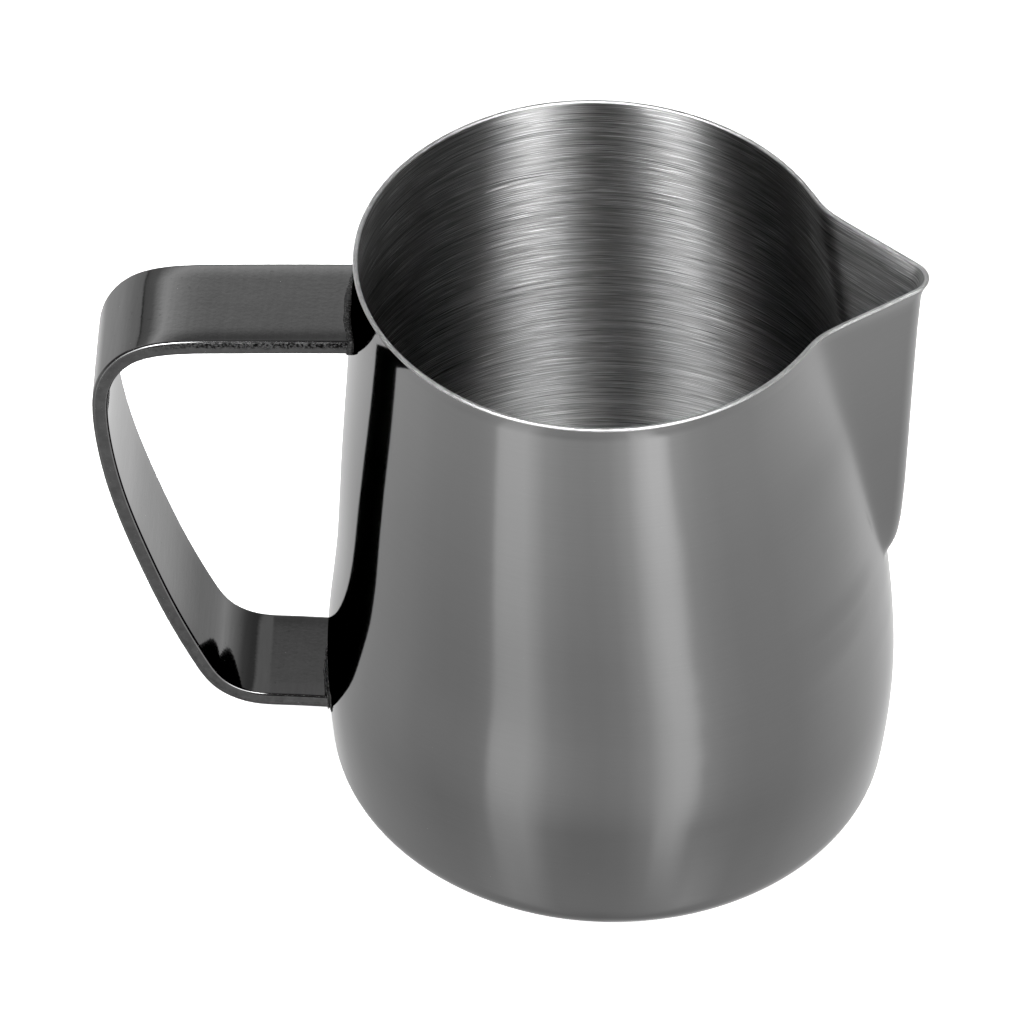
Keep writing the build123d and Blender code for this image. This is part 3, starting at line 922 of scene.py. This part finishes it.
def surroundings():
    world = bpy.data.worlds.new("studio")
    bpy.context.scene.world = world
    world.use_nodes = True
    world.cycles.sampling_method = "NONE"
    t = world.node_tree
    t.nodes.clear()

    def new(kind, **props):
        n = t.nodes.new(kind)
        for k, v in props.items():
            setattr(n, k, v)
        return n

    def m(op, a, b=None):
        n = new("ShaderNodeMath", operation=op)
        for i, v in enumerate((a, b)):
            if v is None:
                continue
            if isinstance(v, (int, float)):
                n.inputs[i].default_value = v
            else:
                t.links.new(v, n.inputs[i])
        return n.outputs[0]

    def ramp(fac, stops):
        n = new("ShaderNodeValToRGB")
        cr = n.color_ramp
        while len(cr.elements) > 1:
            cr.elements.remove(cr.elements[-1])
        cr.elements[0].position = stops[0][0]
        cr.elements[0].color = g(stops[0][1])
        for p, c in stops[1:]:
            e = cr.elements.new(p)
            e.color = g(c)
        t.links.new(fac, n.inputs[0])
        return n.outputs[0]

    tc = new("ShaderNodeTexCoord")
    sep = new("ShaderNodeSeparateXYZ")
    t.links.new(tc.outputs["Generated"], sep.inputs[0])
    x, y, z = sep.outputs
    az = m("ARCTAN2", x, m("MULTIPLY", y, -1.0))            # 0 towards -Y, +90 degrees towards +X
    az = m("ADD", m("DIVIDE", az, 2.0 * math.pi), 0.5)
    el = m("DIVIDE", m("ARCSINE", z), math.pi / 2.0)        # -1 .. 1

    def stops(table):
        return [((a + 180.0) / 360.0, v) for a, v in table]

    # brightness round the horizon, by elevation: azimuth in degrees, 0 in front (-Y), positive towards +X
    PANEL = 6.4

    def sky(back, panel, dark, turn=0.0, other=.20):
        """Above the horizon: a back wall, dark sides, and a soft panel on each side of the front."""
        left = [(-180, back), (-122, .9 * back), (-100, dark + .02), (-78, dark), (-58 - turn, dark), (-47 - turn, dark + .04 * panel),
                (-41 - turn, .37 * panel), (-37 - turn, .86 * panel), (-31, .86 * panel), (-27.5, .50 * panel), (-22, dark + .05 * panel), (-15, dark)]
        right = [(17, dark), (25, dark + .05 * panel), (31.5, .58 * panel), (35, panel), (43, .97 * panel), (48 + .3 * turn, .50 * panel),
                 (56 + .3 * turn, dark + .05 * panel), (70, dark + .09), (100, dark + .12), (122, .9 * other + .04), (179.5, other), (180, back)]
        return left + [(0, dark)] + right

    bands = [
        (-90.0, [(-180, .25), (180, .25)]),
        (-72.0, [(-180, .30), (-40, .36), (0, .30), (40, .38), (180, .34)]),
        (-56.0, [(-180, .40), (-140, .44), (-110, .41), (-80, .38), (-60, .38), (-48, .45), (-40, .50), (-30, .47), (-20, .37), (0, .36),
                 (12, .37), (22, .42), (32, .48), (42, .55), (50, .50), (60, .41), (80, .42), (100, .49), (120, .53), (150, .62), (180, .66)]),
        (-42.0, [(-180, .74), (-150, .66), (-140, .56), (-120, .46), (-100, .42), (-90, .40), (-70, .345), (-55, .36), (-48, .41),
                 (-44, .58), (-38, .62), (-31, .63), (-21.5, .40), (-11, .335), (0, .33), (10, .36), (20, .48), (23.5, .68), (30, .74),
                 (33.5, .63), (37, .45), (50, .40), (65, .38), (80, .40), (100, .47), (115, .53), (130, .60), (150, .70), (165, .80), (180, .78)]),
        (-33.0, [(-180, .76), (-160, .74), (-140, .70), (-125, .60), (-110, .50), (-90, .46), (-80, .41), (-60, .39),
                 (-50, .41), (-46.5, .45), (-43.8, .72), (-40, .77), (-30, .76), (-25, .66), (-20, .54), (-10, .45), (0, .42), (10, .45),
                 (18.5, .57), (24.4, .79), (29.5, .91), (34.2, .92), (37.0, .82), (40.0, .57), (50, .46), (60, .42), (80, .42), (90, .47),
                 (115, .62), (145, .78), (180, .80)]),
        (-24.0, [(-180, .55), (-143, .52), (-110, .48), (-60, .40), (-46.5, .45), (-43.8, .9), (-30, .9), (-20, .54), (0, .42), (18, .6),
                 (27, .95), (39, .95), (43, .5), (60, .42), (90, .42), (120, .34), (146, .32), (180, .45)]),
        (-9.0, sky(.60, 1.3, .30, 0.0, .55)),
        (2.0, sky(.60, 2.4, .10, 0.0, .45)),
        (18.5, sky(.42, PANEL * .95, .05, 0.0, .24)),
        (25.4, sky(.36, PANEL * .95, .05, 0.0, .12)),
        (26.4, sky(.05, PANEL * .95, .05, 0.0, .11)),
        (27.5, sky(.19, PANEL * .95, .05, 0.0, .10)),
        (32.0, sky(.24, PANEL * .95, .05, 0.0, .08)),
        (34.2, sky(.52, PANEL * .95, .05, 1.0, .07)),
        (35.8, sky(.78, PANEL * .95, .05, 1.0, .07)),
        (37.4, sky(.56, PANEL * .95, .05, 1.0, .07)),
        (39.6, sky(.27, PANEL * .95, .05, 2.0, .26)),
        (41.3, sky(.10, PANEL, .05, 3.0, .26)),
        (42.8, sky(.23, PANEL, .05, 3.0, .26)),
        (55.0, sky(.15, PANEL * 2.0, .05, 9.0, .15)),
        (70.0, sky(.10, PANEL * 4.0, .05, 12.0, .10)),
        (76.0, sky(.06, PANEL * 2.0, .05, 12.0, .06)),
        (79.0, [(-180, .04), (180, .04)]),
        (90.0, [(-180, .04), (180, .04)]),
    ]
    el_deg = m("MULTIPLY", el, 90.0)
    colour = None
    last_el = None
    for height, table in bands:
        c = ramp(az, stops([(a, v / 10.0) for a, v in table]))
        if colour is None:
            colour = c
        else:
            blend = new("ShaderNodeMapRange")
            blend.inputs["From Min"].default_value = last_el
            blend.inputs["From Max"].default_value = height
            t.links.new(el_deg, blend.inputs["Value"])
            mixer = new("ShaderNodeMix", data_type="RGBA")
            t.links.new(blend.outputs[0], mixer.inputs["Factor"])
            t.links.new(colour, mixer.inputs[6])
            t.links.new(c, mixer.inputs[7])
            colour = mixer.outputs[2]
        last_el = height
    bg = new("ShaderNodeBackground")
    t.links.new(colour, bg.inputs["Color"])
    bg.inputs["Strength"].default_value = 10.0
    out = new("ShaderNodeOutputWorld")
    t.links.new(bg.outputs[0], out.inputs["Surface"])


studio()
surroundings()

# ---------------------------------------------------------------------------------------------------------------
# Camera
# ---------------------------------------------------------------------------------------------------------------
cam_data = bpy.data.cameras.new("camera")
cam_data.sensor_width = 36.0
cam_data.lens = 246.094
cam_data.clip_start = 0.05
cam_data.clip_end = 20.0
cam = bpy.data.objects.new("camera", cam_data)
right = Vector((0.998046, 0.059601, 0.018755))
up = Vector((-0.053338, 0.656353, 0.752566))
fwd = Vector((-0.032544, 0.752096, -0.658250))
where = Vector((0.019778, -0.830795, 0.780100))
cam.matrix_world = Matrix(((right.x, up.x, -fwd.x, where.x), (right.y, up.y, -fwd.y, where.y),
                           (right.z, up.z, -fwd.z, where.z), (0.0, 0.0, 0.0, 1.0)))
bpy.context.scene.collection.objects.link(cam)
bpy.context.scene.camera = cam
bpy.context.scene.view_settings.view_transform = "Standard"
bpy.context.scene.cycles.glossy_bounces = 0
